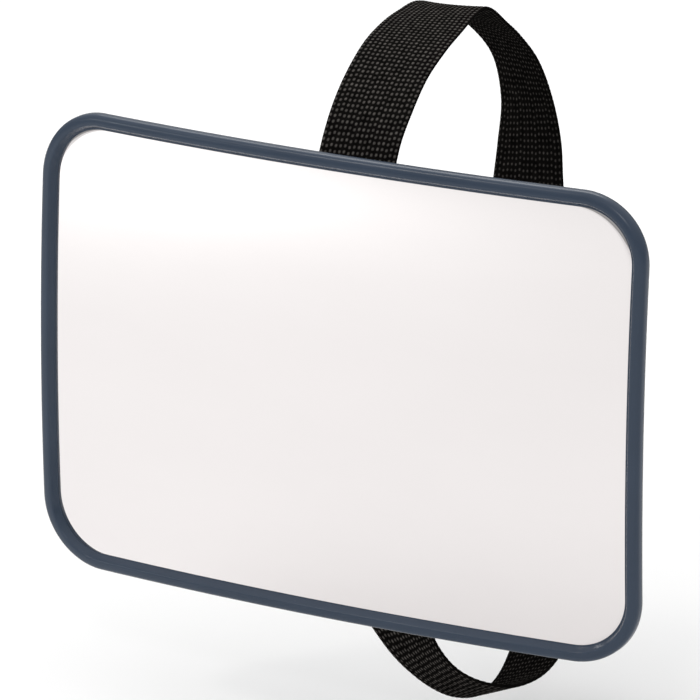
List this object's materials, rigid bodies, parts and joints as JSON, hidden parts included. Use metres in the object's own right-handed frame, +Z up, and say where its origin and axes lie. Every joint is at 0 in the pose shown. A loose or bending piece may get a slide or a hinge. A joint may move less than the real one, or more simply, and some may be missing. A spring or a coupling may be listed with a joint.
{
  "type": "rear seat convex mirror",
  "caption": "Wide rounded rectangular convex mirror in a plastic frame, on a ball joint and a webbing loop with a side release buckle for a car headrest.",
  "frame": {"origin": "middle of the grip pad's rear face, which rests on the front of a headrest", "axes": "+Y out of the grip pad towards the headrest and away from the mirror's face, +Z up, +X to the right for someone who looks into the mirror"},
  "size_m": [0.29, 0.1908, 0.2925],
  "materials": {
    "slate_plastic": "satin moulded, slate blue",
    "mirror": "silvered acrylic",
    "foam": "closed cell foam tape",
    "dark_plastic": "fine moulded grain",
    "steel": "zinc plated",
    "nylon": "natural nylon",
    "rubber": "matt",
    "webbing": "plain woven polypropylene",
    "elastic": "woven elastic",
    "buckle_plastic": "satin moulded, black"
  },
  "bodies": {
    "bracket": {"strap_bracket": "dark_plastic", "grip_pad": "rubber", "ball_stud": "dark_plastic", "stud_screw": "steel", "stud_washer": "steel", "upper_strap": "webbing", "lower_strap": "webbing", "buckle_socket": "buckle_plastic"},
    "pan_liner": {"friction_liner": "rubber"},
    "tilt_seat": {"ball_seat": "nylon"},
    "mirror_head": {"rear_cover": "dark_plastic", "ball_housing": "dark_plastic", "housing_screw_1": "steel", "housing_screw_2": "steel", "housing_screw_3": "steel", "housing_screw_4": "steel", "bezel": "slate_plastic", "mirror_pane": "mirror", "backing_foam": "foam"},
    "clamp_ring": {"collar_nut": "dark_plastic"},
    "buckle_plug": {"buckle_plug": "buckle_plastic", "strap_keeper": "elastic"},
    "arm_left": {"buckle_arm_left": "buckle_plastic"},
    "arm_right": {"buckle_arm_right": "buckle_plastic"}
  },
  "joints": [
    {"name": "mirror_pan", "type": "hinge", "parent": "bracket", "child": "pan_liner", "pos_m": [0, -0.0198, 0], "axis": [0, 0, -1], "range_deg": [-12, 12]},
    {"name": "mirror_tilt", "type": "hinge", "parent": "pan_liner", "child": "tilt_seat", "pos_m": [0, -0.0198, 0], "axis": [1, 0, 0], "range_deg": [-10, 10]},
    {"name": "mirror_roll", "type": "hinge", "parent": "tilt_seat", "child": "mirror_head", "pos_m": [0, -0.0198, 0], "axis": [0, 1, 0], "range_deg": [-90, 90]},
    {"name": "collar_turn", "type": "hinge", "parent": "mirror_head", "child": "clamp_ring", "pos_m": [0, -0.0198, 0], "axis": [0, 1, 0], "range_deg": [0, 90]},
    {"name": "plug_slide", "type": "slide", "parent": "bracket", "child": "buckle_plug", "axis": [0.2588, 0, -0.9659], "range_m": [0, 0.03], "deforming": ["lower_strap", "buckle_arm_left", "buckle_arm_right"]},
    {"name": "arm_left_press", "type": "hinge", "parent": "buckle_plug", "child": "arm_left", "pos_m": [-0.00434, 0.132, -0.02305], "axis": [0, 1, 0], "range_deg": [0, 14], "stiffness_Nm_per_rad": 0.4},
    {"name": "arm_right_press", "type": "hinge", "parent": "buckle_plug", "child": "arm_right", "pos_m": [0.03334, 0.132, -0.01295], "axis": [0, -1, 0], "range_deg": [0, 14], "stiffness_Nm_per_rad": 0.4}
  ]
}
